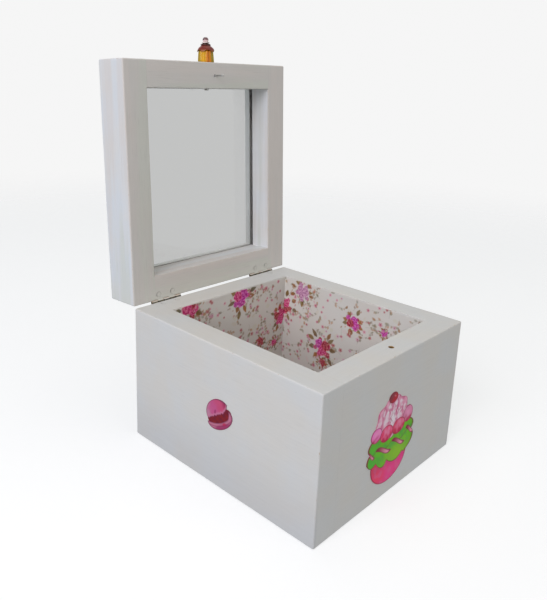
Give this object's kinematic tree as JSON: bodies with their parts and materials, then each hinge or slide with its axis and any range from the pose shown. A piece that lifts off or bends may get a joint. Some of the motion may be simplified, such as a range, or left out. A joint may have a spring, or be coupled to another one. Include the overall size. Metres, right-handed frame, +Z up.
{
  "type": "glass-lidded wooden keepsake box",
  "caption": "Small painted wooden box with a paper-lined well and a glazed lid that swings up on two back hinges, with a cupcake-shaped knob.",
  "frame": {"origin": "centre of the base, on the surface the box stands on", "axes": "+Z up, +X to the box's right, +Y to its back where the hinges are; the rest pose has the lid standing open"},
  "size_m": [0.1504, 0.1988, 0.2744],
  "materials": {
    "case_paint": "brushed chalky off-white paint on pine, worn at the edges",
    "lid_paint": "brushed chalky off-white paint on pine, grain showing through",
    "plywood": "bare birch plywood, lightly sanded",
    "floral_paper": "varnished decoupage paper with a print of small pink roses and brown leaves",
    "cupcake_paper": "varnished cut-out paper print in pink and green",
    "macaron_paper": "varnished cut-out paper print in pink and dark red",
    "aged_brass": "tarnished, with paint brushed over the leaves",
    "pane_glass": "clear window glass",
    "steel": "plain bright steel, slightly dulled",
    "knob_yellow": "glossy moulded",
    "knob_chocolate": "glossy moulded",
    "knob_cream": "satin moulded",
    "knob_cherry": "high gloss"
  },
  "bodies": {
    "case": {"left_side_board": "case_paint", "right_side_board": "case_paint", "front_board": "case_paint", "back_board": "case_paint", "bottom_panel": "plywood", "lining_floor": "floral_paper", "lining_left": "floral_paper", "lining_right": "floral_paper", "lining_front": "floral_paper", "lining_back": "floral_paper", "cupcake_cutout": "cupcake_paper", "macaron_cutout": "macaron_paper", "hinge_left_case_leaf": "aged_brass", "hinge_left_pin": "aged_brass", "hinge_left_case_screw_1": "aged_brass", "hinge_left_case_screw_2": "aged_brass", "hinge_right_case_leaf": "aged_brass", "hinge_right_pin": "aged_brass", "hinge_right_case_screw_1": "aged_brass", "hinge_right_case_screw_2": "aged_brass"},
    "lid": {"lid_left_stile": "lid_paint", "lid_right_stile": "lid_paint", "lid_front_rail": "lid_paint", "lid_back_rail": "lid_paint", "lid_glass": "pane_glass", "catch_pin": "steel", "knob_cup": "knob_yellow", "knob_icing": "knob_chocolate", "knob_cream": "knob_cream", "knob_cherry": "knob_cherry", "knob_screw": "steel", "hinge_left_lid_leaf": "aged_brass", "hinge_left_lid_screw_1": "aged_brass", "hinge_left_lid_screw_2": "aged_brass", "hinge_right_lid_leaf": "aged_brass", "hinge_right_lid_screw_1": "aged_brass", "hinge_right_lid_screw_2": "aged_brass"}
  },
  "joints": [
    {"name": "lid_hinge", "type": "hinge", "parent": "case", "child": "lid", "pos_m": [0, 0.0817, 0.0942], "axis": [1, 0, 0], "range_deg": [0, 93]}
  ]
}
